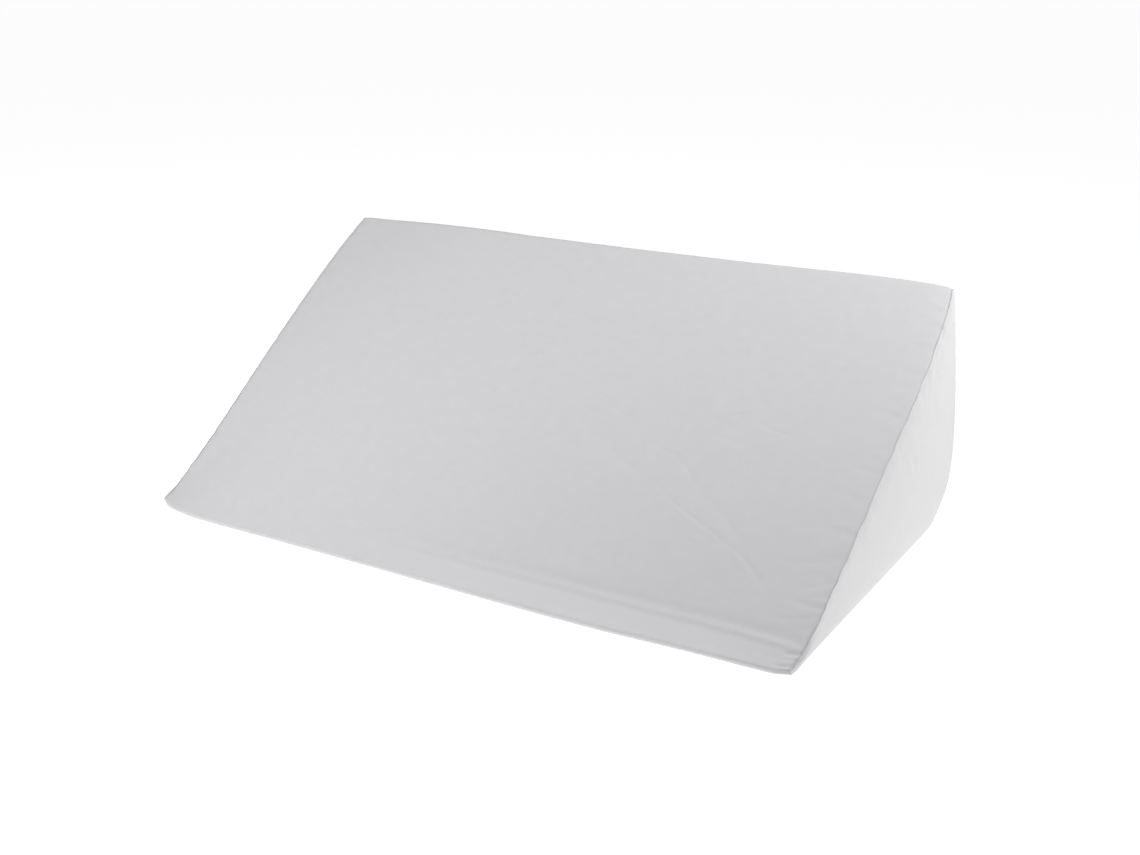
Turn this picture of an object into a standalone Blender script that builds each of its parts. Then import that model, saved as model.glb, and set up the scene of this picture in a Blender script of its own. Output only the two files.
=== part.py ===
"""Reflux wedge pillow: a firm wedge-shaped cushion in a plain white cotton cover.

One strip of cloth wraps the filling from the base over the slope and down the back, and a
triangular end panel is sewn into each end. The wrap with its filling is one solid, and each end
panel is a thin crowned sheet whose rim stands a little proud as the seam.

Metres, +Z up. +X runs along the width, the thin front edge faces -Y and the tall back faces +Y.
The origin is on the floor under the middle of the cushion.
"""

import math
from bisect import bisect_right
from collections import namedtuple

import bmesh
import bpy

# The wedge between its seam corners
SEAM_WIDTH = 0.600
TOP_DEPTH = 0.295  # the top edge, behind the line of the front corners
HEIGHT = 0.2080
HEEL_DEPTH = 0.3155  # the lower back edge, which swells out past the top one

# How round its three long edges are
NOSE_RADIUS = 0.0035
NOSE_TURN = 150  # degrees that the cloth turns through round the front edge
TOP_RADIUS = 0.008
TOP_CORNER_RADIUS = 0.003
HEEL_RADIUS = 0.028

# How far the slope and the back swell between their seams
SLOPE_CROWN = 0.0035
BACK_CROWN = 0.0045
BACK_END_CROWN = 0.002
CROWN_FLATNESS = 2.6  # 2 would be a plain arch, and more is flatter in the middle
PANEL_FLATNESS = 2.2

# The blunt front of the filling lifts a low ridge along the cloth
RIDGE_LEFT = (0.040, 0.0175)  # (place in the width, distance up the slope)
RIDGE_RIGHT = (0.250, 0.0216)
RIDGE_RISE = 0.0010
RIDGE_SPREAD = 0.0030
RIDGE_START = (-0.150, 0.030)  # it rises out of the slope between these places in the width
RIDGE_END = (0.286, 0.300)  # and flattens into the right-hand seam
RIDGE_LEFT_AT_SEAM = 0.3

# Cloth and seams
CLOTH = 0.002
SEAM_PROUD = 0.0012
PIECE_GAP = 0.0004

# Mesh steps
WIDTH_STEPS = 40
WIDTH_CROWDING = 0.35  # how much closer together they are towards the ends, where the edges turn in
FINE_ROWS_END = 0.036  # the slope's rows are close together up to here
SLOPE_STEPS = 24
BACK_STEPS = 8
NOSE_STEPS = 4
TOP_STEPS = 4
HEEL_STEPS = 5
BASE_STEPS = 6
END_RINGS = (0.07, 0.20, 0.40, 0.68)  # shares of the way from a seam in to the panel's midline
MIDLINE_STEPS = 5

# The midline of an end panel, where it stands out furthest
MidPoint = namedtuple("MidPoint", "depth height out")
MID_FRONT = MidPoint(0.050, 0.015, 0.0035)
MID_BACK = MidPoint(0.216, 0.080, 0.0140)

# How far the front edge stands out past its corners, at places across the width, and how far up
# the slope the cloth takes to settle back from it
FrontPlace = namedtuple("FrontPlace", "across reach settle")
FRONT_EDGE = (
    FrontPlace(-1.00, 0.0012, 0.030),
    FrontPlace(-0.96, 0.0096, 0.060),
    FrontPlace(-0.90, 0.0134, 0.110),
    FrontPlace(-0.80, 0.0160, 0.170),
    FrontPlace(-0.50, 0.0149, 0.190),
    FrontPlace(-0.15, 0.0146, 0.175),
    FrontPlace(0.20, 0.0146, 0.130),
    FrontPlace(0.50, 0.0133, 0.095),
    FrontPlace(0.76, 0.0084, 0.080),
    FrontPlace(0.92, 0.0066, 0.055),
    FrontPlace(0.97, 0.0054, 0.040),
    FrontPlace(1.00, 0.0012, 0.030),
)

# How far the top edge lifts over its corners, which starts this share of the way up the slope
LIFT_START = 0.6
TopPlace = namedtuple("TopPlace", "across lift")
TOP_EDGE = (
    TopPlace(-1.00, 0.0000),
    TopPlace(-0.86, 0.0014),
    TopPlace(-0.65, 0.0028),
    TopPlace(-0.35, 0.0019),
    TopPlace(-0.10, 0.0008),
    TopPlace(0.20, 0.0006),
    TopPlace(0.55, 0.0016),
    TopPlace(0.80, 0.0030),
    TopPlace(0.94, 0.0020),
    TopPlace(1.00, -0.0004),
)

# How far the end seams bow outwards, at shares of the way up the slope
SeamPlace = namedtuple("SeamPlace", "share left right")
SLOPE_SEAMS = (
    SeamPlace(0.00, -0.0014, 0.0010),
    SeamPlace(0.07, -0.0006, 0.0032),
    SeamPlace(0.20, -0.0004, 0.0056),
    SeamPlace(0.36, 0.0024, 0.0070),
    SeamPlace(0.52, 0.0052, 0.0078),
    SeamPlace(0.72, 0.0074, 0.0092),
    SeamPlace(0.86, 0.0072, 0.0078),
    SeamPlace(0.95, 0.0055, 0.0056),
    SeamPlace(1.00, 0.0034, 0.0028),
)

# The same for the back, at shares of the height
BACK_SEAMS = (
    SeamPlace(0.00, 0.0010, 0.0010),
    SeamPlace(0.08, 0.0034, 0.0036),
    SeamPlace(0.18, 0.0076, 0.0080),
    SeamPlace(0.32, 0.0096, 0.0102),
    SeamPlace(0.55, 0.0092, 0.0092),
    SeamPlace(0.80, 0.0066, 0.0060),
    SeamPlace(1.00, 0.0034, 0.0028),
)

# Soft creases that cross the slope, from the middle of the face towards its front right corner
Fold = namedtuple("Fold", "from_x from_up to_x to_up spread depth")
FOLDS = (
    Fold(0.030, 0.205, 0.160, 0.145, 0.0070, 0.0008),
    Fold(0.150, 0.148, 0.236, 0.080, 0.0075, 0.0010),
    Fold(0.045, 0.168, 0.155, 0.115, 0.0070, 0.0007),
    Fold(0.150, 0.118, 0.256, 0.062, 0.0070, 0.0012),
    Fold(0.070, 0.206, 0.190, 0.204, 0.0070, 0.0007),
)

COTTON = {"colour": (0.80, 0.80, 0.815, 1.0), "roughness": 0.9}
END_COTTON = {"colour": (0.83, 0.83, 0.835, 1.0), "roughness": 0.9}

SLOPE_ANGLE = math.atan2(HEIGHT, TOP_DEPTH)
SLOPE_LENGTH = math.hypot(HEIGHT, TOP_DEPTH)


# Helpers for the tables and the slope

def along(table, column, place):
    """The column's value at a place, on a smooth curve through the table's rows."""
    places = [row[0] for row in table]
    values = [getattr(row, column) for row in table]
    place = min(max(place, places[0]), places[-1])
    i = min(bisect_right(places, place), len(places) - 1) - 1
    step = places[i + 1] - places[i]
    t = (place - places[i]) / step

    def tangent(k):
        low, high = max(k - 1, 0), min(k + 1, len(places) - 1)
        return (values[high] - values[low]) / (places[high] - places[low]) * step

    return (
        (2 * t**3 - 3 * t**2 + 1) * values[i]
        + (t**3 - 2 * t**2 + t) * tangent(i)
        + (3 * t**2 - 2 * t**3) * values[i + 1]
        + (t**3 - t**2) * tangent(i + 1)
    )


def bell(distance, spread):
    return math.exp(-((distance / spread) ** 2))


def ramp(value, low, high):
    t = min(max((value - low) / (high - low), 0.0), 1.0)
    return t * t * (3 - 2 * t)


def off_slope(up, out):
    """(depth, height) of a point at a distance up the slope and out from its plane."""
    return (
        up * math.cos(SLOPE_ANGLE) - out * math.sin(SLOPE_ANGLE),
        up * math.sin(SLOPE_ANGLE) + out * math.cos(SLOPE_ANGLE),
    )


def on_slope(depth, height):
    """(up, out) of a point, the other way round."""
    return (
        depth * math.cos(SLOPE_ANGLE) + height * math.sin(SLOPE_ANGLE),
        height * math.cos(SLOPE_ANGLE) - depth * math.sin(SLOPE_ANGLE),
    )


def swell(across, share=0.5):
    """1 in the middle of a face and 0 at its edges."""
    return (1 - abs(across) ** CROWN_FLATNESS) * (1 - abs(2 * share - 1) ** CROWN_FLATNESS)


# The relief of the slope

def fold_relief(x, up):
    relief = 0.0
    for fold in FOLDS:
        run_x, run_up = fold.to_x - fold.from_x, fold.to_up - fold.from_up
        length = math.hypot(run_x, run_up)
        share = ((x - fold.from_x) * run_x + (up - fold.from_up) * run_up) / length**2
        if 0 < share < 1:
            off = ((x - fold.from_x) * run_up - (up - fold.from_up) * run_x) / length
            relief -= fold.depth * math.sin(math.pi * share) * bell(off, fold.spread)
    return relief


def ridge_up(x):
    """How far up the slope the ridge runs at a place in the width."""
    share = (x - RIDGE_LEFT[0]) / (RIDGE_RIGHT[0] - RIDGE_LEFT[0])
    return RIDGE_LEFT[1] + (RIDGE_RIGHT[1] - RIDGE_LEFT[1]) * min(max(share, 0.0), 1.0)


def slope_relief(across, up):
    """How far the crown, the ridge and the creases stand out from the slope."""
    x = across * SEAM_WIDTH / 2
    ridge = ramp(x, *RIDGE_START) * (1 - (1 - RIDGE_LEFT_AT_SEAM) * ramp(x, *RIDGE_END))
    return (
        SLOPE_CROWN * swell(across, min(max(up / SLOPE_LENGTH, 0.0), 1.0))
        + RIDGE_RISE * ridge * bell(up - ridge_up(x), RIDGE_SPREAD)
        + fold_relief(x, up)
    )


def slope_rows(across, first, last):
    """Distances up the slope: close together over the ridge, then even steps to the top."""
    ridge_start = ridge_up(across * SEAM_WIDTH / 2) - 2 * RIDGE_SPREAD
    rows = [first + (ridge_start - first) / 2]
    rows += [ridge_start + RIDGE_SPREAD * i for i in range(5)]
    step = (last - FINE_ROWS_END) / SLOPE_STEPS
    return rows + [FINE_ROWS_END + step * i for i in range(SLOPE_STEPS + 1)]


# One section of the cushion, at a place across its width from -1 to 1

def section(across):
    """The closed outline as (half width, depth, height): round the nose, up the slope, over the
    top, down the back and forward along the base."""
    side = "left" if across < 0 else "right"
    points = []

    def add(depth, height, seams, share):
        points.append((SEAM_WIDTH / 2 + along(seams, side, share), depth, height))

    nose_depth = NOSE_RADIUS - along(FRONT_EDGE, "reach", across)
    for i in range(NOSE_STEPS + 1):
        turn = math.radians(270 - NOSE_TURN * i / NOSE_STEPS)
        depth = nose_depth + NOSE_RADIUS * math.cos(turn)
        add(depth, NOSE_RADIUS * (1 + math.sin(turn)), SLOPE_SEAMS, 0)

    slope_start, nose_out = on_slope(*points[-1][1:])
    top_radius = TOP_CORNER_RADIUS + (TOP_RADIUS - TOP_CORNER_RADIUS) * (1 - abs(across) ** 8)
    slope_end = SLOPE_LENGTH - top_radius * math.tan(SLOPE_ANGLE / 2)
    settle = along(FRONT_EDGE, "settle", across)
    lift = along(TOP_EDGE, "lift", across)
    for up in slope_rows(across, slope_start, slope_end):
        out = slope_relief(across, up) + lift * ramp(up, LIFT_START * slope_end, slope_end)
        out += nose_out * max(1 - (up - slope_start) / settle, 0.0) ** 2
        add(*off_slope(up, out), SLOPE_SEAMS, up / SLOPE_LENGTH)

    top_depth = points[-1][1] + top_radius * math.sin(SLOPE_ANGLE)
    top_height = points[-1][2] - top_radius * math.cos(SLOPE_ANGLE)
    crown = BACK_END_CROWN + BACK_CROWN * swell(across)
    drop = top_height - HEEL_RADIUS
    lean = math.atan2(HEEL_DEPTH - top_depth - top_radius + math.pi * crown, drop)
    for i in range(1, TOP_STEPS + 1):
        share = i / TOP_STEPS
        turn = (math.pi / 2 + SLOPE_ANGLE) * (1 - share) + lean * share
        depth = top_depth + top_radius * math.cos(turn)
        add(depth, top_height + top_radius * math.sin(turn), SLOPE_SEAMS, 1)

    back_depth, back_height = points[-1][1:]
    for i in range(1, BACK_STEPS + 1):
        share = i / BACK_STEPS
        height = back_height + (HEEL_RADIUS - back_height) * share
        depth = back_depth + (HEEL_DEPTH - back_depth) * share + crown * math.sin(math.pi * share)
        add(depth, height, BACK_SEAMS, height / HEIGHT)

    for i in range(1, HEEL_STEPS + 1):
        turn = -math.pi / 2 * i / HEEL_STEPS
        height = HEEL_RADIUS * (1 + math.sin(turn))
        add(HEEL_DEPTH + HEEL_RADIUS * (math.cos(turn) - 1), height, BACK_SEAMS, height / HEIGHT)

    base_back, base_front = points[-1][1], points[0][1]
    for i in range(1, BASE_STEPS):
        share = i / BASE_STEPS
        add(base_back + (base_front - base_back) * share, 0.0, BACK_SEAMS, 0)
    return points


# The ends: rings of points from the seam in to the midline of the panel

def mid_point(share):
    return MidPoint(*(a + (b - a) * share for a, b in zip(MID_FRONT, MID_BACK)))


def mid_share(depth, height):
    """How far back along the midline its nearest point to this one is."""
    run, rise = MID_BACK.depth - MID_FRONT.depth, MID_BACK.height - MID_FRONT.height
    along_run = (depth - MID_FRONT.depth) * run + (height - MID_FRONT.height) * rise
    return min(max(along_run / (run**2 + rise**2), 0.0), 1.0)


def add_ring(mesh, ring):
    return [mesh.verts.new(point) for point in ring]


def join_rings(mesh, first, second):
    for i in range(len(first)):
        j = (i + 1) % len(first)
        mesh.faces.new((first[i], first[j], second[j], second[i]))


def cover_end(mesh, rim, side, inset, outline):
    """A crowned face that closes one end from its rim, this far inside the panel's outer face."""
    shares = [mid_share(depth, height) for _, depth, height in outline]
    ring = rim
    for inward in END_RINGS:
        points = []
        for (half, depth, height), share in zip(outline, shares):
            mid = mid_point(share)
            rise = 1 - (1 - inward) ** PANEL_FLATNESS
            out = half + (SEAM_WIDTH / 2 + mid.out - half) * rise
            points.append((
                side * (out - inset),
                depth + (mid.depth - depth) * inward,
                height + (mid.height - height) * inward,
            ))
        inner = add_ring(mesh, points)
        join_rings(mesh, ring, inner)
        ring = inner

    mids = [mid_point(i / MIDLINE_STEPS) for i in range(MIDLINE_STEPS + 1)]
    outs = [side * (SEAM_WIDTH / 2 + mid.out - inset) for mid in mids]
    line = add_ring(mesh, [(out, mid.depth, mid.height) for out, mid in zip(outs, mids)])
    steps = [round(share * MIDLINE_STEPS) for share in shares]
    for i in range(len(ring)):
        j = (i + 1) % len(ring)
        way = 1 if steps[i] > steps[j] else -1
        between = [line[k] for k in range(steps[j], steps[i] + way, way)]
        mesh.faces.new((ring[i], ring[j], *between))


def proud(outline):
    """The outline moved out by the seam's ridge, but for its flat base."""
    moved = []
    for i, (half, depth, height) in enumerate(outline):
        before, after = outline[i - 1], outline[(i + 1) % len(outline)]
        run, rise = after[1] - before[1], after[2] - before[2]
        out = SEAM_PROUD / math.hypot(run, rise) if height > 1e-6 else 0.0
        moved.append((half, depth - out * rise, max(height + out * run, 0.0)))
    return moved


# The pieces

def fill_body(mesh):
    """The wrap of cloth with the filling inside it, as one closed solid."""
    inset = CLOTH + PIECE_GAP
    loops = []
    for i in range(WIDTH_STEPS + 1):
        even = 2 * i / WIDTH_STEPS - 1
        crowded = -math.cos(math.pi * i / WIDTH_STEPS)
        across = even + (crowded - even) * WIDTH_CROWDING
        outline = section(across)
        loops.append(add_ring(mesh, [(across * (half - inset), y, z) for half, y, z in outline]))
    for first, second in zip(loops, loops[1:]):
        join_rings(mesh, first, second)
    cover_end(mesh, loops[0], -1, inset, section(-1))
    cover_end(mesh, loops[-1], 1, inset, section(1))


def fill_end_panel(mesh, side):
    """A thin crowned sheet with its rim a little proud of the wrap."""
    outline = section(side)
    rims = []
    for inset in (0.0, CLOTH):
        rim = add_ring(mesh, [(side * (half - inset), y, z) for half, y, z in outline])
        cover_end(mesh, rim, side, inset, outline)
        rims.append(rim)
    ridge = add_ring(mesh, [(side * (half - CLOTH / 2), y, z) for half, y, z in proud(outline)])
    join_rings(mesh, rims[0], ridge)
    join_rings(mesh, ridge, rims[1])


def fill_left_panel(mesh):
    fill_end_panel(mesh, -1)


def fill_right_panel(mesh):
    fill_end_panel(mesh, 1)


def cloth_material(name, finish):
    material = bpy.data.materials.new(name)
    material.use_nodes = True
    shader = material.node_tree.nodes["Principled BSDF"]
    shader.inputs["Base Color"].default_value = finish["colour"]
    shader.inputs["Roughness"].default_value = finish["roughness"]
    shader.inputs["Metallic"].default_value = 0.0
    return material


def make_piece(name, fill, finish):
    mesh = bmesh.new()
    fill(mesh)
    bmesh.ops.triangulate(mesh, faces=mesh.faces, quad_method="FIXED")
    bmesh.ops.recalc_face_normals(mesh, faces=mesh.faces)
    data = bpy.data.meshes.new(name)
    mesh.to_mesh(data)
    mesh.free()
    data.shade_smooth()
    data.set_sharp_from_angle(angle=math.radians(40))
    data.materials.append(cloth_material(name + "_cloth", finish))
    piece = bpy.data.objects.new(name, data)
    bpy.context.scene.collection.objects.link(piece)
    return piece


def stand_on_origin(pieces):
    """Moves the points so that the middle of the cushion's box is over the origin."""
    points = [vertex.co for piece in pieces for vertex in piece.data.vertices]
    middle_x = (min(p.x for p in points) + max(p.x for p in points)) / 2
    middle_y = (min(p.y for p in points) + max(p.y for p in points)) / 2
    for point in points:
        point.x -= middle_x
        point.y -= middle_y


for old in list(bpy.data.objects):
    bpy.data.objects.remove(old)

stand_on_origin([
    make_piece("wedge_body", fill_body, COTTON),
    make_piece("end_panel_left", fill_left_panel, END_COTTON),
    make_piece("end_panel_right", fill_right_panel, END_COTTON),
])
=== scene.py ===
"""Looks of the reflux wedge pillow: a firm foam wedge in a plain white cotton cover.

Metres, in the frame of the solids: +X along the width, the thin front edge towards -Y, +Z up.
"""

import math
from collections import namedtuple

import bmesh
import bpy
import numpy as np
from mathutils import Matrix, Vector


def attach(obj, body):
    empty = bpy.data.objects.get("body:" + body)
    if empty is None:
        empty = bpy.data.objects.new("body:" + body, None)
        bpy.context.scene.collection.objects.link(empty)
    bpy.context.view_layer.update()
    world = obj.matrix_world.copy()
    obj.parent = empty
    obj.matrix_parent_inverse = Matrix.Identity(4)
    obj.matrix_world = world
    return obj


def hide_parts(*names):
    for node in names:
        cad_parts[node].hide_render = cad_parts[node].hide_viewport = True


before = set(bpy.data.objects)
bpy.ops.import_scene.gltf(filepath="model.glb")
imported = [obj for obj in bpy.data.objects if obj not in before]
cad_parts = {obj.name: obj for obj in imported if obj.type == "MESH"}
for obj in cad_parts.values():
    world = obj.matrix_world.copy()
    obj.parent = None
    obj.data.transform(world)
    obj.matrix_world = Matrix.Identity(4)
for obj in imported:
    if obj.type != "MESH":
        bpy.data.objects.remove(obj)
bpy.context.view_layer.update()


# Cover wrap
# One strip of white cotton that runs from under the front edge up the slope, over the top edge, down the
# back and under the base of the foam wedge. It is cut close to the foam, so it creases only softly, where it
# is drawn towards the front right corner, round the foam's blunt front and into the end seams.
SEAM_WIDTH = 0.600
TOP_DEPTH = 0.295  # the top edge, behind the line of the front corners
HEIGHT = 0.2080
HEEL_DEPTH = 0.3155  # the lower back edge, which swells out past the top one
ORIGIN_DEPTH = 0.15076  # the origin lies this far behind the line of the front corners
NOSE_RADIUS = 0.0025
NOSE_TURN = 150  # degrees that the cloth turns through round the front edge
TOP_RADIUS = 0.008
TOP_CORNER_RADIUS = 0.003
CORNER_SHARPNESS = 8  # how near its corners the top edge turns sharper
HEEL_RADIUS = 0.028
SLOPE_CROWN = 0.0035
BACK_CROWN = 0.0045
BACK_END_CROWN = 0.002
CROWN_FLATNESS = 2.6  # 2 would be a plain arch, and more is flatter in the middle
CLOTH = 0.002
PIECE_GAP = 0.00012
SLOPE_ANGLE = math.atan2(HEIGHT, TOP_DEPTH)
SLOPE_LENGTH = math.hypot(HEIGHT, TOP_DEPTH)

# The foam's blunt front lifts a low ridge along the cloth, and the strip below the ridge lies flatter
RIDGE_LEFT = (0.040, 0.0170)  # (place in the width, distance up the slope)
RIDGE_RIGHT = (0.250, 0.0214)
RIDGE_RISE = 0.0013
RIDGE_SPREAD = 0.0030
RIDGE_START = (-0.150, 0.030)  # it rises out of the slope between these places in the width
RIDGE_END = (0.286, 0.300)  # and flattens into the right-hand seam
RIDGE_LEFT_AT_SEAM = 0.3
HOLLOW_BEHIND = 0.5  # how deep the cloth sinks behind the ridge, beside its rise
STRIP_DROP = 0.0026
STRIP_DROP_START = (-0.080, 0.220)
STRIP_DROP_FADE = 0.040

# How far the front edge stands out past its corners, at places across the width from -1 to 1, and how far
# up the slope the cloth takes to settle back from it
FrontPlace = namedtuple("FrontPlace", "across reach settle")
FRONT_EDGE = (
    FrontPlace(-1.00, 0.0012, 0.030),
    FrontPlace(-0.96, 0.0086, 0.060),
    FrontPlace(-0.90, 0.0134, 0.110),
    FrontPlace(-0.80, 0.0160, 0.170),
    FrontPlace(-0.50, 0.0149, 0.190),
    FrontPlace(-0.15, 0.0146, 0.175),
    FrontPlace(0.20, 0.0146, 0.130),
    FrontPlace(0.50, 0.0133, 0.095),
    FrontPlace(0.76, 0.0084, 0.080),
    FrontPlace(0.92, 0.0066, 0.055),
    FrontPlace(0.97, 0.0054, 0.040),
    FrontPlace(1.00, 0.0012, 0.030),
)
FRONT_FLARE = 2.8  # how suddenly the cloth flares out to the front edge

# How far the top edge lifts over its corners, which starts this share of the way up the slope
LIFT_START = 0.6
TopPlace = namedtuple("TopPlace", "across lift")
TOP_EDGE = (
    TopPlace(-1.00, 0.0000),
    TopPlace(-0.86, 0.0014),
    TopPlace(-0.65, 0.0028),
    TopPlace(-0.35, 0.0019),
    TopPlace(-0.10, 0.0008),
    TopPlace(0.20, 0.0006),
    TopPlace(0.55, 0.0016),
    TopPlace(0.80, 0.0030),
    TopPlace(0.94, 0.0020),
    TopPlace(1.00, -0.0004),
)

# How far the end seams bow outwards, at shares of the way up the slope, and of the height at the back
SeamPlace = namedtuple("SeamPlace", "share left right")
SLOPE_SEAMS = (
    SeamPlace(0.00, -0.0014, 0.0010),
    SeamPlace(0.07, -0.0006, 0.0032),
    SeamPlace(0.20, -0.0004, 0.0056),
    SeamPlace(0.36, 0.0024, 0.0070),
    SeamPlace(0.52, 0.0052, 0.0078),
    SeamPlace(0.72, 0.0074, 0.0092),
    SeamPlace(0.86, 0.0072, 0.0078),
    SeamPlace(0.95, 0.0055, 0.0056),
    SeamPlace(1.00, 0.0034, 0.0028),
)
BACK_SEAMS = (
    SeamPlace(0.00, 0.0010, 0.0010),
    SeamPlace(0.08, 0.0034, 0.0036),
    SeamPlace(0.18, 0.0076, 0.0080),
    SeamPlace(0.32, 0.0096, 0.0102),
    SeamPlace(0.55, 0.0092, 0.0092),
    SeamPlace(0.80, 0.0066, 0.0060),
    SeamPlace(1.00, 0.0034, 0.0028),
)

# The right-hand slope seam wavers a little between its puckers
Waver = namedtuple("Waver", "size pitch start")
SEAM_WAVERS = (Waver(0.00024, 0.0470, 1.3), Waver(0.00020, 0.0293, 4.1), Waver(0.00012, 0.0187, 0.4))
WAVER_START = (0.012, 0.040)
WAVER_END = (0.320, 0.350)

# Mesh steps, finest where the photograph shows the creases
Spacing = namedtuple("Spacing", "place step")
ACROSS_STEPS = (  # metres along the width
    Spacing(-0.300, 0.0005),
    Spacing(-0.292, 0.0018),
    Spacing(-0.270, 0.0040),
    Spacing(-0.020, 0.0040),
    Spacing(0.015, 0.0020),
    Spacing(0.105, 0.0018),
    Spacing(0.125, 0.0011),
    Spacing(0.250, 0.0011),
    Spacing(0.262, 0.0015),
    Spacing(0.292, 0.0012),
    Spacing(0.300, 0.0005),
)
UP_STEPS = (  # metres up the slope
    Spacing(0.000, 0.0012),
    Spacing(0.032, 0.0012),
    Spacing(0.045, 0.0020),
    Spacing(0.055, 0.0012),
    Spacing(0.140, 0.0012),
    Spacing(0.150, 0.0018),
    Spacing(0.215, 0.0018),
    Spacing(0.235, 0.0028),
    Spacing(0.361, 0.0022),
)
NOSE_STEPS = 9
TOP_STEPS = 9
BACK_STEPS = 30
HEEL_STEPS = 9
BASE_STEPS = 16


def along(table, column, place):
    """The column's values at places, on a smooth curve through the table's rows."""
    places = np.array([row[0] for row in table])
    values = np.array([getattr(row, column) for row in table])
    rows = np.arange(len(table))
    high, low = np.minimum(rows + 1, rows[-1]), np.maximum(rows - 1, 0)
    slopes = (values[high] - values[low]) / (places[high] - places[low])
    place = np.clip(place, places[0], places[-1])
    i = np.clip(np.searchsorted(places, place, side="right") - 1, 0, rows[-1] - 1)
    step = places[i + 1] - places[i]
    t = (place - places[i]) / step
    return (
        (2 * t**3 - 3 * t**2 + 1) * values[i]
        + (t**3 - 2 * t**2 + t) * slopes[i] * step
        + (3 * t**2 - 2 * t**3) * values[i + 1]
        + (t**3 - t**2) * slopes[i + 1] * step
    )


def stepped(table):
    """Places from the table's first to its last, as close together as it says."""
    fine = np.linspace(table[0].place, table[-1].place, 6001)
    step = np.interp(fine, [row.place for row in table], [row.step for row in table])
    count = np.concatenate([[0.0], np.cumsum(np.diff(fine) / step[:-1])])
    return np.interp(np.linspace(0, count[-1], round(count[-1]) + 1), count, fine)


def bell(distance, spread):
    return np.exp(-((distance / spread) ** 2))


def ramp(value, low, high):
    t = np.clip((value - low) / (high - low), 0, 1)
    return t * t * (3 - 2 * t)


def off_slope(up, out):
    """(depth, height) of a point at a distance up the slope and out from its plane."""
    return (
        up * math.cos(SLOPE_ANGLE) - out * math.sin(SLOPE_ANGLE),
        up * math.sin(SLOPE_ANGLE) + out * math.cos(SLOPE_ANGLE),
    )


def swell(across, share=0.5):
    """1 in the middle of a face and 0 at its edges."""
    return (1 - abs(across) ** CROWN_FLATNESS) * (1 - abs(2 * share - 1) ** CROWN_FLATNESS)


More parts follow.
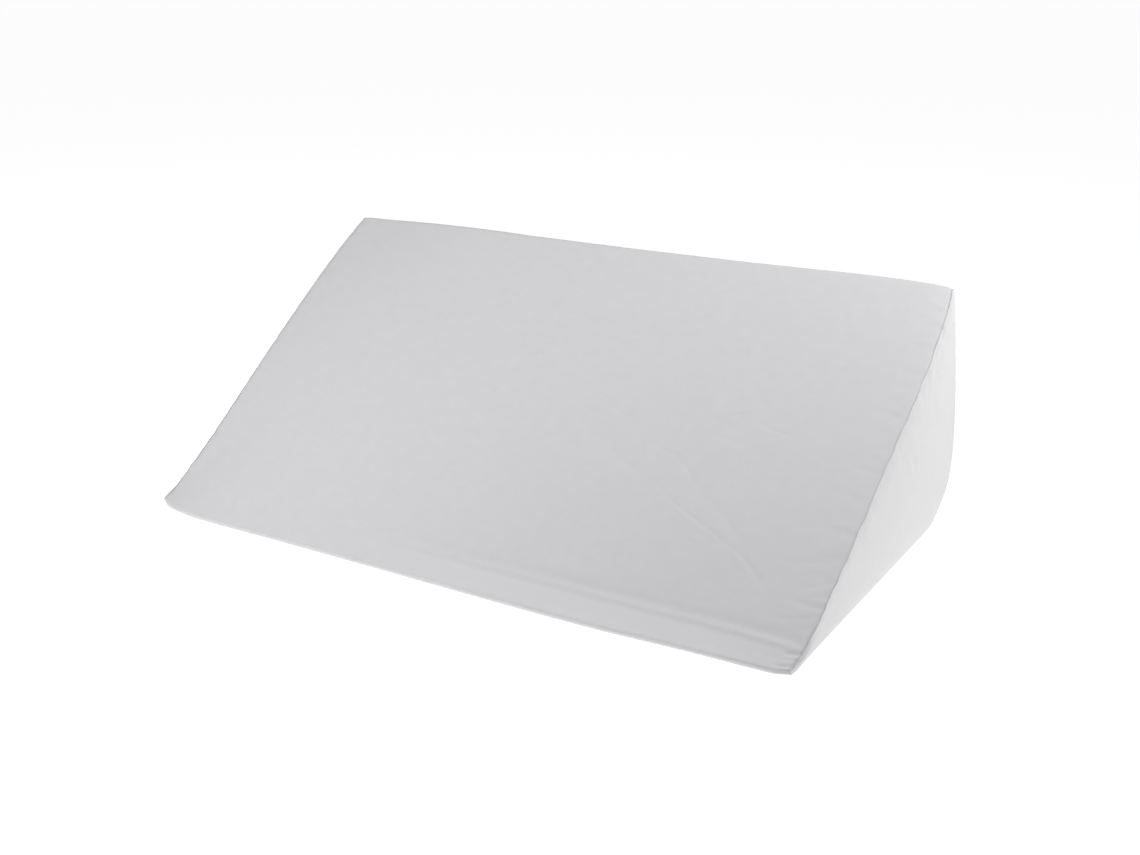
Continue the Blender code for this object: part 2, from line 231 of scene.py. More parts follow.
def outlines(across):
    """The closed outlines at places across the width, as arrays of half width, depth, height and how far
    up the cloth each point is from the foot of the slope: nose, slope, top, back, heel and base."""
    across = across[:, None]
    rows = []

    def add(depth, height, up, seams, share):
        depth, height, up, share = np.broadcast_arrays(depth, height, up, share + 0 * across)
        bow = np.where(across < 0, along(seams, "left", share), along(seams, "right", share))
        waver = sum(w.size * np.sin(2 * math.pi * up / w.pitch + w.start) for w in SEAM_WAVERS)
        bow = bow + waver * (across > 0) * ramp(up, *WAVER_START) * (1 - ramp(up, *WAVER_END))
        rows.append(np.stack([SEAM_WIDTH / 2 + bow, depth, height, up], -1))

    nose_depth = NOSE_RADIUS - along(FRONT_EDGE, "reach", across)
    turn = np.radians(270 - NOSE_TURN * np.linspace(0, 1, NOSE_STEPS + 1))
    depth = nose_depth + NOSE_RADIUS * np.cos(turn)
    height = NOSE_RADIUS * (1 + np.sin(turn)) + 0 * across
    slope_start = depth[:, -1:] * math.cos(SLOPE_ANGLE) + height[:, -1:] * math.sin(SLOPE_ANGLE)
    nose_out = height[:, -1:] * math.cos(SLOPE_ANGLE) - depth[:, -1:] * math.sin(SLOPE_ANGLE)
    add(depth, height, slope_start + NOSE_RADIUS * (turn[-1] - turn), SLOPE_SEAMS, 0.0)

    top_radius = TOP_CORNER_RADIUS + (TOP_RADIUS - TOP_CORNER_RADIUS) * (1 - abs(across) ** CORNER_SHARPNESS)
    slope_end = SLOPE_LENGTH - top_radius * math.tan(SLOPE_ANGLE / 2)
    lift = along(TOP_EDGE, "lift", across)
    shares = stepped(UP_STEPS)[1:] / UP_STEPS[-1].place
    up = slope_start + (slope_end - slope_start) * shares
    x = across * SEAM_WIDTH / 2
    ridge_up = np.interp(x, *zip(RIDGE_LEFT, RIDGE_RIGHT))
    ridge = ramp(x, *RIDGE_START) * (1 - (1 - RIDGE_LEFT_AT_SEAM) * ramp(x, *RIDGE_END))
    below_ridge = (up - slope_start) / (ridge_up - slope_start)
    above_ridge = np.exp(-(up - ridge_up) / STRIP_DROP_FADE)
    drop = STRIP_DROP * ramp(x, *STRIP_DROP_START) * np.where(up < ridge_up, below_ridge, above_ridge)
    behind = bell(up - ridge_up - 2 * RIDGE_SPREAD, 1.5 * RIDGE_SPREAD)
    unsettled = np.clip(1 - (up - slope_start) / along(FRONT_EDGE, "settle", across), 0, 1)
    out = (
        SLOPE_CROWN * swell(across, np.clip(up / SLOPE_LENGTH, 0, 1))
        + RIDGE_RISE * ridge * bell(up - ridge_up, RIDGE_SPREAD)
        - drop
        - RIDGE_RISE * HOLLOW_BEHIND * ridge * behind
        + lift * ramp(up, LIFT_START * slope_end, slope_end)
        + nose_out * unsettled ** FRONT_FLARE
    )
    depth, height = off_slope(up, out)
    add(depth, height, up, SLOPE_SEAMS, up / SLOPE_LENGTH)

    top_depth = depth[:, -1:] + top_radius * math.sin(SLOPE_ANGLE)
    top_height = height[:, -1:] - top_radius * math.cos(SLOPE_ANGLE)
    crown = BACK_END_CROWN + BACK_CROWN * swell(across)
    lean = np.arctan2(HEEL_DEPTH - top_depth - top_radius + math.pi * crown, top_height - HEEL_RADIUS)
    shares = np.linspace(0, 1, TOP_STEPS + 1)[1:]
    turn = (math.pi / 2 + SLOPE_ANGLE) * (1 - shares) + lean * shares
    depth = top_depth + top_radius * np.cos(turn)
    height = top_height + top_radius * np.sin(turn)
    up = up[:, -1:] + top_radius * (math.pi / 2 + SLOPE_ANGLE - turn)
    add(depth, height, up, SLOPE_SEAMS, 1.0)

    shares = np.linspace(0, 1, BACK_STEPS + 1)[1:]
    start, top = depth[:, -1:], height[:, -1:]
    height = top + (HEEL_RADIUS - top) * shares
    depth = start + (HEEL_DEPTH - start) * shares + crown * np.sin(math.pi * shares)
    up = up[:, -1:] + top - height
    add(depth, height, up, BACK_SEAMS, height / HEIGHT)

    turn = -math.pi / 2 * np.linspace(0, 1, HEEL_STEPS + 1)[1:]
    height = HEEL_RADIUS * (1 + np.sin(turn)) + 0 * across
    up = up[:, -1:] - HEEL_RADIUS * turn
    add(HEEL_DEPTH + HEEL_RADIUS * (np.cos(turn) - 1), height, up, BACK_SEAMS, height / HEIGHT)

    base_back, base_front = rows[-1][:, -1:, 1], rows[0][:, :1, 1]
    shares = np.linspace(0, 1, BASE_STEPS + 1)[1:-1]
    depth = base_back + (base_front - base_back) * shares
    add(depth, 0 * depth, up[:, -1:] + base_back - depth, BACK_SEAMS, 0.0)
    return np.concatenate(rows, 1)


# Creases as lines of (x, up the cloth), with how wide and deep they are, and how far the cloth beside them
# stands up as a share of that depth
Crease = namedtuple("Crease", "spread depth lip line")
CREASES = (
    # the long one that runs down to the front right corner, and the ones above it
    Crease(0.0014, 0.00046, 0.6, (
        (0.139, 0.127), (0.153, 0.115), (0.180, 0.103), (0.201, 0.094), (0.220, 0.085), (0.234, 0.079))),
    Crease(0.0019, 0.00060, 0.4, ((0.226, 0.084), (0.239, 0.074), (0.249, 0.066), (0.256, 0.060))),
    Crease(0.0034, 0.00032, 0.3, ((0.044, 0.168), (0.084, 0.150), (0.111, 0.134), (0.146, 0.122))),
    Crease(0.0016, 0.00065, 0.6, ((0.119, 0.158), (0.134, 0.155), (0.149, 0.153))),
    Crease(0.0019, 0.00036, 0.6, ((0.144, 0.153), (0.154, 0.147), (0.164, 0.139), (0.170, 0.132))),
    Crease(0.0032, 0.00028, 0.4, ((0.165, 0.137), (0.196, 0.115), (0.219, 0.098), (0.236, 0.080))),
    Crease(0.0024, 0.00042, 0.5, ((0.036, 0.197), (0.074, 0.186), (0.113, 0.170))),
    # short ones about the middle of the right half
    Crease(0.0014, 0.00080, 0.6, ((0.160, 0.189), (0.166, 0.193), (0.180, 0.201), (0.195, 0.206))),
    Crease(0.0016, 0.00055, 0.5, ((0.197, 0.197), (0.209, 0.194), (0.229, 0.190))),
    Crease(0.0018, 0.00032, 0.4, ((0.170, 0.178), (0.199, 0.173))),
    Crease(0.0028, 0.00030, 0.3, ((0.066, 0.207), (0.094, 0.203), (0.133, 0.206))),
    Crease(0.0025, 0.00030, 0.3, ((0.234, 0.257), (0.258, 0.261))),
    Crease(0.0025, 0.00030, 0.3, ((0.230, 0.240), (0.252, 0.246))),
    # the ones that the front right corner and the right-hand seam draw in
    Crease(0.0022, 0.00032, 0.3, ((0.278, 0.118), (0.301, 0.121))),
    Crease(0.0024, 0.00032, 0.3, ((0.266, 0.084), (0.284, 0.088), (0.303, 0.095))),
    Crease(0.0020, 0.00042, 0.3, ((0.284, 0.067), (0.304, 0.077))),
    Crease(0.0018, 0.00042, 0.3, ((0.287, 0.059), (0.296, 0.063), (0.305, 0.066))),
    Crease(0.0022, 0.00048, 0.3, ((0.270, 0.039), (0.286, 0.042), (0.304, 0.049))),
    Crease(0.0024, 0.00030, 0.3, ((0.206, 0.034), (0.226, 0.040))),
    # the gathers at that corner's tip
    Crease(0.0016, 0.0018, 0.1, ((0.2870, -0.0020), (0.2935, -0.0005), (0.3005, 0.0025))),
    Crease(0.0017, 0.0016, 0.1, ((0.2865, 0.0025), (0.2935, 0.0040), (0.3005, 0.0075))),
    Crease(0.0017, 0.0011, 0.2, ((0.2880, 0.0145), (0.2960, 0.0165), (0.3015, 0.0200))),
    # two tucks in the seam below the top right corner
    Crease(0.0018, 0.00090, 0.4, ((0.2950, 0.3440), (0.3050, 0.3420), (0.3150, 0.3400))),
    Crease(0.0020, 0.00080, 0.4, ((0.2960, 0.3205), (0.3070, 0.3185), (0.3170, 0.3165))),
    # one in the seam halfway up
    Crease(0.0016, 0.00070, 0.4, ((0.2920, 0.2390), (0.3020, 0.2345), (0.3120, 0.2300))),
    # a long faint one under the top edge
    Crease(0.0035, 0.00028, 0.4, ((0.060, 0.318), (0.116, 0.322), (0.180, 0.331), (0.246, 0.333))),
)

CREASE_TAPER = 0.7  # how slowly a crease deepens from its ends, where it keeps a little of its depth
CREASE_ENDS = (0.03, 0.97)

# The cloth stands up on both sides of a crease: how far off its line and how wide, in spreads of the
# crease, and how much of the full height
Lip = namedtuple("Lip", "off spread share")
LOWER_LIP = Lip(2.0, 1.3, 1.0)
UPPER_LIP = Lip(2.2, 1.6, 0.6)


def crease_relief(creases, x, up):
    """How far the creases move each point of the cloth out from its surface."""
    relief = np.zeros_like(x)
    for crease in creases:
        line = np.array(crease.line)
        reach = 4 * crease.spread
        near = (
            (x > line[:, 0].min() - reach) & (x < line[:, 0].max() + reach)
            & (up > line[:, 1].min() - reach) & (up < line[:, 1].max() + reach)
        )
        point = np.stack([x[near], up[near]], -1)
        ends = np.concatenate([[0.0], np.cumsum(np.linalg.norm(np.diff(line, axis=0), axis=1))])
        best = np.full(len(point), np.inf)
        side = np.zeros(len(point))
        share = np.zeros(len(point))
        for k, (start, end) in enumerate(zip(line, line[1:])):
            run = end - start
            t = np.clip((point - start) @ run / (run @ run), 0, 1)
            off = point - (start + t[:, None] * run)
            distance = np.linalg.norm(off, axis=1)
            closer = distance < best
            best = np.where(closer, distance, best)
            cross = run[0] * off[:, 1] - run[1] * off[:, 0]
            side = np.where(closer, np.sign(cross), side)
            share = np.where(closer, (ends[k] + t * (ends[k + 1] - ends[k])) / ends[-1], share)
        taper = np.sin(math.pi * np.clip(share, *CREASE_ENDS)) ** CREASE_TAPER
        off = best * side
        trough = bell(off, crease.spread)
        lip = LOWER_LIP.share * bell(off + LOWER_LIP.off * crease.spread, LOWER_LIP.spread * crease.spread)
        lip += UPPER_LIP.share * bell(off - UPPER_LIP.off * crease.spread, UPPER_LIP.spread * crease.spread)
        relief[near] += crease.depth * taper * (crease.lip * lip - trough)
    return relief


# Puckers: the sewing thread draws the cloth into short folds square to each end seam
PUCKER_PITCH = 0.0225
PUCKER_REACH = 0.017
PUCKER_DEPTH = 0.00040
PUCKER_SPREADS = (0.0022, 0.0040)
PUCKER_LIP = 0.5
PUCKER_BEND = 0.4  # the share of a pucker's reach at which it bends
FIRST_PUCKER = 0.012
LAST_PUCKER = 0.56
PAST_SEAM = 0.012  # a pucker's line starts this far past the seam, so the seam meets it at its depth

# The cloth dips into the seams, deeper at the front right corner, and rounds over beside them
SEAM_DIP = 0.0003
SEAM_DIP_REACH = 0.0013
CORNER_DIP = 0.0018
CORNER_DIP_UP = (0.002, 0.055)
SEAM_ROUND = 0.0006
SEAM_ROUND_REACH = 0.006

# Broad shallow hollows and swells, which fade out near the seams
HOLLOW_COUNT = 46
HOLLOW_DEPTH = 0.00032
HOLLOW_LENGTHS = (0.035, 0.085)
HOLLOW_WIDTHS = (0.010, 0.024)
HOLLOWS_ACROSS = (-0.29, 0.29)
HOLLOWS_UP = (0.03, 0.56)
HOLLOW_TURN = -0.55  # they lie along the pull towards the front right corner, give or take
HOLLOW_TURN_SPREAD = 0.5
HOLLOW_FADE = 0.03
RELIEF_FADE = (0.0005, 0.006)  # heights over which all relief fades in, because the base lies flat

luck = np.random.default_rng(11)


def seam_puckers():
    """Short folds along both seams, from the front edge up the slope and down the back."""
    puckers = []
    for side in (-1, 1):
        up = FIRST_PUCKER
        while up < LAST_PUCKER:
            reach = PUCKER_REACH * luck.uniform(0.5, 1.4)
            slant = luck.uniform(-0.35, 0.35) * reach
            depth = PUCKER_DEPTH * luck.uniform(0.4, 1.2)
            start, bend, tip = (
                side * (SEAM_WIDTH / 2 - inward) for inward in (-PAST_SEAM, reach * PUCKER_BEND, reach))
            line = ((start, up), (bend, up + PUCKER_BEND * slant), (tip, up + slant))
            puckers.append(Crease(luck.uniform(*PUCKER_SPREADS), depth, PUCKER_LIP, line))
            up += PUCKER_PITCH * luck.uniform(0.6, 1.35)
    return puckers


def hollow_relief(x, up):
    relief = np.zeros_like(x)
    for _ in range(HOLLOW_COUNT):
        at_x, at_up = luck.uniform(*HOLLOWS_ACROSS), luck.uniform(*HOLLOWS_UP)
        turn = luck.normal(HOLLOW_TURN, HOLLOW_TURN_SPREAD)
        long, wide = luck.uniform(*HOLLOW_LENGTHS), luck.uniform(*HOLLOW_WIDTHS)
        depth = HOLLOW_DEPTH * luck.uniform(-1, 1)
        run = (x - at_x) * math.cos(turn) + (up - at_up) * math.sin(turn)
        off = (up - at_up) * math.cos(turn) - (x - at_x) * math.sin(turn)
        relief += depth * bell(run, long) * bell(off, wide)
    return relief


def surface_normals(points):
    normals = np.cross(np.gradient(points, axis=0), np.roll(points, -1, 1) - np.roll(points, 1, 1))
    return normals / np.linalg.norm(normals, axis=-1, keepdims=True)


# An end panel stands out furthest along a midline
MidPoint = namedtuple("MidPoint", "depth height out")
MID_FRONT = MidPoint(0.050, 0.015, 0.0035)
MID_BACK = MidPoint(0.216, 0.080, 0.0140)
MIDLINE_STEPS = 48
PANEL_FLATNESS = 2.2  # as the crown's
EDGE_ROUND_REACH = 0.010
CREASE_FROM_RIM = 0.003  # a panel's creases fade in over this distance from its rim


def mid_shares(depth, height):
    """How far back along the midline its nearest point to each of these is."""
    run, rise = MID_BACK.depth - MID_FRONT.depth, MID_BACK.height - MID_FRONT.height
    along_run = (depth - MID_FRONT.depth) * run + (height - MID_FRONT.height) * rise
    return np.clip(along_run / (run**2 + rise**2), 0, 1)


def midline_of(outline, side, inset):
    """The points along one end's midline, and which of them each point of the outline is nearest to."""
    shares = np.linspace(0, 1, MIDLINE_STEPS + 1)
    depth, height, out = (front + (back - front) * shares for front, back in zip(MID_FRONT, MID_BACK))
    line = np.stack([side * (SEAM_WIDTH / 2 + out - inset), depth - ORIGIN_DEPTH, height], -1)
    return line, np.round(mid_shares(outline[:, 1], outline[:, 2]) * MIDLINE_STEPS).astype(int)


def end_rings(outline, side, inset, shares, rounding=0.0, creases=()):
    """Rings of points on one crowned end, these shares of the way in from its rim to its midline."""
    half, depth, height = outline[:, 0], outline[:, 1], outline[:, 2]
    mids = mid_shares(depth, height)
    mid = MidPoint(*(front + (back - front) * mids for front, back in zip(MID_FRONT, MID_BACK)))
    width = np.hypot(mid.depth - depth, mid.height - height)
    rings = []
    for inward in shares:
        out = half + (SEAM_WIDTH / 2 + mid.out - half) * (1 - (1 - inward) ** PANEL_FLATNESS)
        out -= rounding * np.clip(1 - inward * width / EDGE_ROUND_REACH, 0, 1) ** 2
        ring_depth = depth + (mid.depth - depth) * inward
        ring_height = height + (mid.height - height) * inward
        out += crease_relief(creases, ring_depth, ring_height) * ramp(inward * width, 0, CREASE_FROM_RIM)
        rings.append(np.stack([side * (out - inset), ring_depth - ORIGIN_DEPTH, ring_height], -1))
    return rings


def closed_mesh(name, loops, first_end, last_end, flat_place):
    """A closed mesh from loops of points, each joined to the next, with a midline closing either end.
    flat_place gives the place on the flat cloth, which the weave follows, of each loop and midline."""
    size = len(loops[0])
    mesh = bmesh.new()
    verts = [[mesh.verts.new(point) for point in loop] for loop in loops]
    for ring, after in zip(verts, verts[1:]):
        for i in range(size):
            j = (i + 1) % size
            mesh.faces.new((ring[i], ring[j], after[j], after[i]))
    for ring, (line, steps) in ((verts[0], first_end), (verts[-1], last_end)):
        nodes = [mesh.verts.new(point) for point in line]
        for i in range(size):
            j = (i + 1) % size
            way = 1 if steps[i] > steps[j] else -1
            between = [nodes[k] for k in range(steps[j], steps[i] + way, way)]
            mesh.faces.new((ring[i], ring[j], *between))
    bmesh.ops.recalc_face_normals(mesh, faces=mesh.faces)
    data = bpy.data.meshes.new(name)
    mesh.to_mesh(data)
    mesh.free()
    data.attributes.new("cloth", "FLOAT_VECTOR", "POINT").data.foreach_set(
        "vector", np.concatenate(flat_place).astype(np.float32).ravel())
    data.shade_smooth()
    piece = bpy.data.objects.new(name, data)
    bpy.context.scene.collection.objects.link(piece)
    return piece


def cloth_places(x, up):
    return np.stack([x, up, 0 * x], -1)


INSIDE = (0.0, 0.05, 0.06)  # a point well inside the cushion
CAP_SHARES = (0.08, 0.3, 0.6, 0.85)

places = stepped(ACROSS_STEPS) / ACROSS_STEPS[-1].place
outline = outlines(places)
across = places[:, None]
inset = CLOTH + PIECE_GAP
x = across * (outline[..., 0] - inset)
up = outline[..., 3]
wrap_points = np.stack([x, outline[..., 1] - ORIGIN_DEPTH, outline[..., 2]], -1)
off_floor = ramp(outline[..., 2], *RELIEF_FADE)
from_rim = outline[..., 0] - inset - abs(x)
relief = crease_relief(CREASES, x, up) + hollow_relief(x, up) * ramp(from_rim, 0, HOLLOW_FADE)
relief += crease_relief(seam_puckers(), x, up)
relief -= SEAM_ROUND * np.clip(1 - from_rim / SEAM_ROUND_REACH, 0, 1) ** 2
normals = surface_normals(wrap_points)
normals *= np.sign((normals * (wrap_points - INSIDE)).sum(-1).mean()) * off_floor[..., None]
rims = outline[[0, -1]]  # where the end panels meet the wrap
rims[..., 1:3] += (normals * relief[..., None])[[0, -1], :, 1:]
rims[..., 2] = np.maximum(rims[..., 2], 0)
left_rim, right_rim = rims
dip = SEAM_DIP + (CORNER_DIP - SEAM_DIP) * (1 - ramp(up, *CORNER_DIP_UP)) * (x > 0)
relief -= dip * bell(from_rim, SEAM_DIP_REACH)
wrap_points += normals * relief[..., None]
wrap_points[..., 2] = np.maximum(wrap_points[..., 2], 0)

# The wrap's open ends are closed under the end panels, with the same crown
left_cap = end_rings(left_rim, -1, inset, CAP_SHARES)
right_cap = end_rings(right_rim, 1, inset, CAP_SHARES)
left_line, right_line = midline_of(left_rim, -1, inset), midline_of(right_rim, 1, inset)
flat = [cloth_places(loop[:, 1], loop[:, 2]) for loop in left_cap[::-1]]
flat += [cloth_places(*place) for place in zip(x, up)]
flat += [cloth_places(loop[:, 1], loop[:, 2]) for loop in (*right_cap, left_line[0], right_line[0])]
loops = [*left_cap[::-1], *wrap_points, *right_cap]
cover_wrap = closed_mesh("cover_wrap", loops, left_line, right_line, flat)

# Painted light: the cloth from the front edge as far up as the ridge is painted a lighter white, standing in
# for the light that falls on that flatter strip. It fades in and out between these places in the width.
PAINTED_STRIP_START = (-0.160, 0.090)
PAINTED_STRIP_END = (0.225, 0.290)
PAINTED_STRIP_FADE = 0.0045
painted_strip_top = np.interp(x, *zip(RIDGE_LEFT, RIDGE_RIGHT)) - RIDGE_SPREAD
painted_light_strip = ramp(painted_strip_top - up, -PAINTED_STRIP_FADE, PAINTED_STRIP_FADE) * ramp(x, *PAINTED_STRIP_START) * (1 - ramp(x, *PAINTED_STRIP_END))
painted_light_strip_values = np.zeros(len(cover_wrap.data.vertices), np.float32)
painted_light_strip_values[len(left_cap) * x.shape[1]:][:x.size] = painted_light_strip.ravel()
cover_wrap.data.attributes.new("painted_light_strip", "FLOAT", "POINT").data.foreach_set("value", painted_light_strip_values)


def linear(hex_colour):
    """An sRGB hex colour as linear values with alpha."""
    parts = [int(hex_colour[i:i + 2], 16) / 255 for i in (1, 3, 5)]
    return (*(p / 12.92 if p <= 0.04045 else ((p + 0.055) / 1.055) ** 2.4 for p in parts), 1.0)


def add_node(tree, kind, settings=None, values=None, links=None):
    """Adds a node with its settings, its sockets' values, and links from other nodes' sockets."""
    node = tree.nodes.new(kind)
    for name, value in (settings or {}).items():
        setattr(node, name, value)
    for socket, value in (values or {}).items():
        node.inputs[socket].default_value = value
    for socket, (source, output) in (links or {}).items():
        tree.links.new(source.outputs[output], node.inputs[socket])
    return node


# The real threads are about 0.35 mm apart, too fine for the render, so they are drawn 1.1 mm apart
THREAD_PITCH = 0.0011
THREAD_SCALE = 2 * math.pi / 20 / THREAD_PITCH  # a wave texture has 20 / 2 pi bands a unit
SLUBS_PER_METRE = (40, 650)  # thicker lengths of thread, 25 mm long and 1.5 mm wide
MOTTLES_PER_METRE = 90  # soft unevenness of the cloth, about 11 mm across
# What the weave and the mottle add to the cloth's height, beside 1 for the slubs
WEAVE_SHARE = 0.35
MOTTLE_SHARE = 1.6
TONE_SHARE = 0.5  # how fast the colour turns from shade to light with that height


def woven_cotton(name, light, shade, painted_light_colour):
    """Plain-woven cotton, washed and matt: a fine even weave with a few thicker threads, a little lighter
    on its threads than between them, that scatters light softly and shows no gloss. Where the strip below the
    ridge is marked, it is painted a lighter white: painted light, standing in for the light that falls there."""
    material = bpy.data.materials.new(name)
    material.use_nodes = True
    tree = material.node_tree
    tree.nodes.clear()
    place = (add_node(tree, "ShaderNodeAttribute", {"attribute_name": "cloth"}), "Vector")
    threads = {"Scale": THREAD_SCALE, "Distortion": 0.6, "Detail": 1.0, "Detail Scale": 1.0}
    warp = add_node(tree, "ShaderNodeTexWave", {"bands_direction": "X"}, threads, {"Vector": place})
    weft = add_node(tree, "ShaderNodeTexWave", {"bands_direction": "Y"}, threads, {"Vector": place})
    weave = add_node(tree, "ShaderNodeMath", {"operation": "ADD"}, None, {0: (warp, "Fac"), 1: (weft, "Fac")})
    slub_place = add_node(tree, "ShaderNodeMapping", None,
                          {"Scale": (*SLUBS_PER_METRE, 1)}, {"Vector": place})
    slubs = add_node(tree, "ShaderNodeTexNoise", None,
                     {"Scale": 1.0, "Detail": 2.0, "Roughness": 0.5}, {"Vector": (slub_place, "Vector")})
    mottle = add_node(tree, "ShaderNodeTexNoise", None,
                      {"Scale": MOTTLES_PER_METRE, "Detail": 3.0, "Roughness": 0.55}, {"Vector": place})
    fine = add_node(tree, "ShaderNodeMath", {"operation": "MULTIPLY_ADD"},
                    {1: WEAVE_SHARE}, {0: (weave, "Value"), 2: (slubs, "Fac")})
    height = add_node(tree, "ShaderNodeMath", {"operation": "MULTIPLY_ADD"},
                      {1: MOTTLE_SHARE}, {0: (mottle, "Fac"), 2: (fine, "Value")})
    bump = add_node(tree, "ShaderNodeBump", None,
                    {"Strength": 0.35, "Distance": 0.00025}, {"Height": (height, "Value")})
    tone = add_node(tree, "ShaderNodeMath", {"operation": "MULTIPLY", "use_clamp": True},
                    {1: TONE_SHARE}, {0: (height, "Value")})
    weave_colour = add_node(tree, "ShaderNodeMix", {"data_type": "RGBA"},
                      {6: linear(shade), 7: linear(light)}, {0: (tone, "Value")})
    # painted light: the lighter white is mixed in where the strip below the front ridge is marked
    painted_light_strip = add_node(tree, "ShaderNodeAttribute", {"attribute_name": "painted_light_strip"})
    colour = add_node(tree, "ShaderNodeMix", {"data_type": "RGBA"},
                      {7: linear(painted_light_colour)}, {0: (painted_light_strip, "Fac"), 6: (weave_colour, 2)})
    finish = {"Roughness": 0.92, "IOR": 1.46, "Specular IOR Level": 0.25,
              "Sheen Weight": 0.12, "Sheen Roughness": 0.5}
    shader = add_node(tree, "ShaderNodeBsdfPrincipled", None, finish,
                      {"Base Color": (colour, 2), "Normal": (bump, "Normal")})
    add_node(tree, "ShaderNodeOutputMaterial", None, None, {"Surface": (shader, "BSDF")})
    return material


WRAP_LIGHT = "#e1e1e3"
WRAP_SHADE = "#d9d9db"
# painted light: the lighter white painted on the strip below the front ridge
PAINTED_STRIP_LIGHT = "#e4e4e6"
cover_wrap.data.materials.append(woven_cotton("white_cotton_plain_weave", WRAP_LIGHT, WRAP_SHADE, PAINTED_STRIP_LIGHT))
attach(cover_wrap, "root")
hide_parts("wedge_body")


# End panels
# A triangle of the same cotton sewn into each end of the wrap. The edges of both are turned in and meet flush
# along the seam, the panel rounds over into it, and the foam pushes the panel out a little between its seams.
RIM_PROUD = 0.0002
EDGE_ROUND = 0.0013
PANEL_RINGS = 41
PANEL_CROWDING = 1.8  # how much closer together the rings are towards the seam
PANEL_SHARES = np.linspace(0, 1, PANEL_RINGS + 2)[1:-1] ** PANEL_CROWDING
INNER_EVERY = 3  # the hidden inner face keeps every third ring
RIM_ARC = (-90, -30, 30, 90)  # degrees round the rim, from the outside in
FLOOR_LEVEL = 1e-6  # no higher than this counts as the flat base


def moved_out(outline, side, inset, far):
    """The rim moved out by this much, but for its flat base."""
    depth, height = outline[:, 1], outline[:, 2]
    run, rise = np.roll(depth, -1) - np.roll(depth, 1), np.roll(height, -1) - np.roll(height, 1)
    out = np.where(height > FLOOR_LEVEL, far, 0) / np.hypot(run, rise)
    moved_depth, moved_height = depth - out * rise, np.maximum(height + out * run, 0)
    return np.stack([side * (outline[:, 0] - inset), moved_depth - ORIGIN_DEPTH, moved_height], -1)


# Creases as lines of (depth, height), depth measured from the front corners
RIGHT_PANEL_CREASES = (
    # long slack ones down from the back edge
    Crease(0.0032, 0.00070, 0.5, ((0.2429, 0.1798), (0.2619, 0.1762), (0.2817, 0.1716))),
    Crease(0.0036, 0.00080, 0.5, ((0.2228, 0.1545), (0.2552, 0.1462), (0.2863, 0.1390))),
    Crease(0.0036, 0.00080, 0.5, ((0.2214, 0.1324), (0.2566, 0.1236), (0.2942, 0.1132))),
    # short ones below them
    Crease(0.0026, 0.00060, 0.5, ((0.1865, 0.1017), (0.1959, 0.0923), (0.1974, 0.0861))),
    Crease(0.0026, 0.00050, 0.4, ((0.2298, 0.0832), (0.2330, 0.0713))),
    Crease(0.0026, 0.00060, 0.5, ((0.1084, 0.0391), (0.1126, 0.0287), (0.1102, 0.0201))),
    Crease(0.0024, 0.00050, 0.4, ((0.0398, 0.0293), (0.0564, 0.0306))),
)
LEFT_PANEL_CREASES = (
    Crease(0.0036, 0.00070, 0.5, ((0.2320, 0.1600), (0.2600, 0.1520), (0.2850, 0.1490))),
    Crease(0.0034, 0.00070, 0.5, ((0.2050, 0.1120), (0.2400, 0.1040), (0.2860, 0.0900))),
    Crease(0.0028, 0.00055, 0.5, ((0.1330, 0.0560), (0.1420, 0.0430), (0.1450, 0.0260))),
)

# A panel's puckered seams, from one (depth, height) to another, and the way in from them
PuckeredSeam = namedtuple("PuckeredSeam", "start end inward")
PUCKERED_SEAMS = (
    PuckeredSeam(
        off_slope(0.020, 0.0), off_slope(0.350, 0.0), (math.sin(SLOPE_ANGLE), -math.cos(SLOPE_ANGLE))),
    PuckeredSeam((0.306, 0.190), (0.316, 0.040), (-1.0, 0.0)),
)
PAST_PANEL_SEAM = 0.006
PANEL_PUCKER_SPREADS = (0.0022, 0.0034)


def panel_puckers():
    """Short folds on a panel, square to its slope seam and its back seam."""
    puckers = []
    for seam in PUCKERED_SEAMS:
        start, end, inward = (np.array(place) for place in seam)
        length = np.linalg.norm(end - start)
        run = (end - start) / length
        place = 0.0
        while place < length:
            reach = PUCKER_REACH * luck.uniform(0.5, 1.1)
            tip = start + run * (place + reach * luck.uniform(-0.3, 0.3)) + inward * reach
            line = (tuple(start + run * place - inward * PAST_PANEL_SEAM), tuple(tip))
            spread, depth = luck.uniform(*PANEL_PUCKER_SPREADS), PUCKER_DEPTH * luck.uniform(0.3, 0.9)
            puckers.append(Crease(spread, depth, PUCKER_LIP, line))
            place += PUCKER_PITCH * luck.uniform(0.6, 1.5)
    return puckers


def end_panel(name, side, outline, creases):
    """A thin crowned sheet: its outer face, a round rim and its inner face."""
    outer = end_rings(outline, side, 0.0, PANEL_SHARES, EDGE_ROUND, creases)
    inner = end_rings(outline, side, CLOTH, PANEL_SHARES[::INNER_EVERY])
    rim = []
    for degrees in RIM_ARC:
        turn = math.radians(degrees)
        in_by = EDGE_ROUND + (CLOTH - EDGE_ROUND) * (1 + math.sin(turn)) / 2
        rim.append(moved_out(outline, side, in_by, RIM_PROUD * math.cos(turn)))
    loops = outer[::-1] + rim + inner
    lines = midline_of(outline, side, 0.0), midline_of(outline, side, CLOTH)
    flat = [cloth_places(loop[:, 1], loop[:, 2]) for loop in (*loops, lines[0][0], lines[1][0])]
    return closed_mesh(name, loops, *lines, flat)


PANEL_LIGHT = "#e4e4e5"
PANEL_SHADE = "#dddddf"
panel_cotton = woven_cotton("white_cotton_end_panel", PANEL_LIGHT, PANEL_SHADE, PAINTED_STRIP_LIGHT)
for name, side, rim, creases in (
    ("end_panel_left", -1, left_rim, LEFT_PANEL_CREASES),
    ("end_panel_right", 1, right_rim, RIGHT_PANEL_CREASES),
):
    panel = end_panel(name + "_cloth", side, rim, [*creases, *panel_puckers()])
    panel.data.materials.append(panel_cotton)
    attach(panel, "root")
    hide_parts(name)


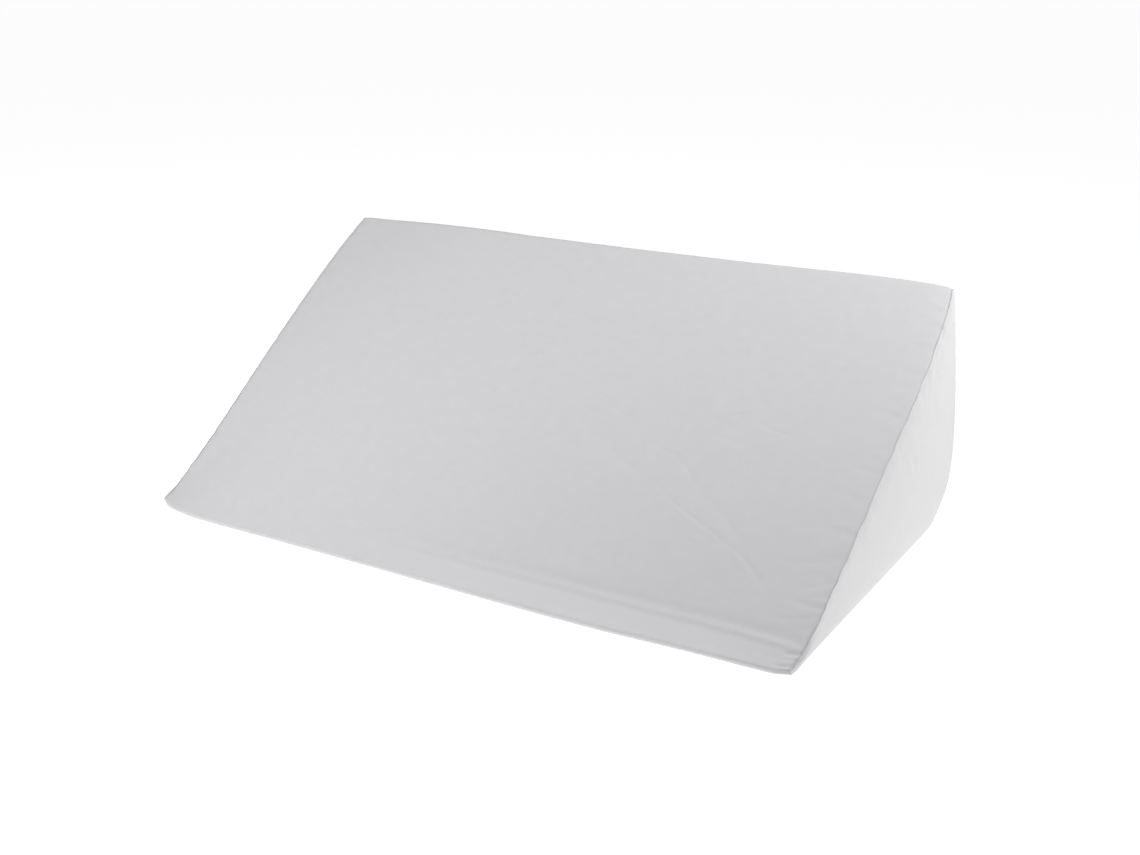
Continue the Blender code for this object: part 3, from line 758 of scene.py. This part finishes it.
# Floor, light and camera
# A plain near-white studio floor under four round softboxes and a faint even glow from all round, seen from
# the photograph's own viewpoint.
FLOOR_SIZE = 60.0
FLOOR_DROP = 0.0003  # just under the pillow, so the two faces don't fight
floor_mesh = bpy.data.meshes.new("floor")
FLOOR_CORNERS = ((-1, -1), (1, -1), (1, 1), (-1, 1))
reach = FLOOR_SIZE / 2
floor_mesh.from_pydata([(x * reach, y * reach, -FLOOR_DROP) for x, y in FLOOR_CORNERS], [], [(0, 1, 2, 3)])
floor = bpy.data.objects.new("floor", floor_mesh)
bpy.context.scene.collection.objects.link(floor)
# Matt white studio paint, bright enough to show hardly any shadow, so the pillow's edges stay clear
FLOOR_WHITE = "#bcbcbc"
FLOOR_GLOW = 0.90
floor_paint = bpy.data.materials.new("white_studio_paint")
floor_paint.use_nodes = True
shader = floor_paint.node_tree.nodes["Principled BSDF"]
shader.inputs["Base Color"].default_value = linear(FLOOR_WHITE)
shader.inputs["Roughness"].default_value = 0.9
shader.inputs["Specular IOR Level"].default_value = 0.0
shader.inputs["Emission Color"].default_value = (1.0, 1.0, 1.0, 1.0)
shader.inputs["Emission Strength"].default_value = FLOOR_GLOW
floor.data.materials.append(floor_paint)

STUDIO_GLOW = 0.15
world = bpy.data.worlds.new("studio")
bpy.context.scene.world = world
world.use_nodes = True
background = world.node_tree.nodes["Background"]
background.inputs["Color"].default_value = (1.0, 1.0, 1.0, 1.0)
background.inputs["Strength"].default_value = STUDIO_GLOW

# Round softboxes that face the middle of the pillow. Strength is what each gives a white surface that
# faces it there.
Softbox = namedtuple("Softbox", "name azimuth elevation distance size strength")
SOFTBOXES = (
    Softbox("overhead", 285, 80, 1.6, 0.8, 0.225),
    Softbox("right_back", 120, 50, 1.1, 0.5, 0.345),
    Softbox("right", 105, 30, 0.8, 0.35, 0.115),
    Softbox("front_left", 330, 30, 0.7, 0.3, 0.315),
)
LIT_PLACE = Vector((0.0, 0.0, 0.1))
for box in SOFTBOXES:
    light = bpy.data.lights.new(box.name, "AREA")
    light.shape = "DISK"
    light.size = box.size
    light.energy = box.strength * (math.pi * box.distance) ** 2
    holder = bpy.data.objects.new(box.name, light)
    bpy.context.scene.collection.objects.link(holder)
    a, e = math.radians(box.azimuth), math.radians(box.elevation)
    towards = Vector((math.sin(a) * math.cos(e), -math.cos(a) * math.cos(e), math.sin(e)))
    holder.location = LIT_PLACE + towards * box.distance
    holder.rotation_mode = "QUATERNION"
    holder.rotation_quaternion = towards.to_track_quat("Z", "Y")

CAMERA_PLACE = (0.6012, -0.9231, 0.4550)
CAMERA_AZIMUTH = 31.6473
CAMERA_ELEVATION = 18.8601
camera_data = bpy.data.cameras.new("camera")
camera_data.lens = 43.19
camera_data.sensor_width = 36.0
camera_data.clip_end = 100.0
camera = bpy.data.objects.new("camera", camera_data)
bpy.context.scene.collection.objects.link(camera)
camera.location = CAMERA_PLACE
camera.rotation_euler = (math.radians(90 - CAMERA_ELEVATION), 0.0, math.radians(CAMERA_AZIMUTH))
bpy.context.scene.camera = camera
bpy.context.scene.view_settings.view_transform = "Standard"
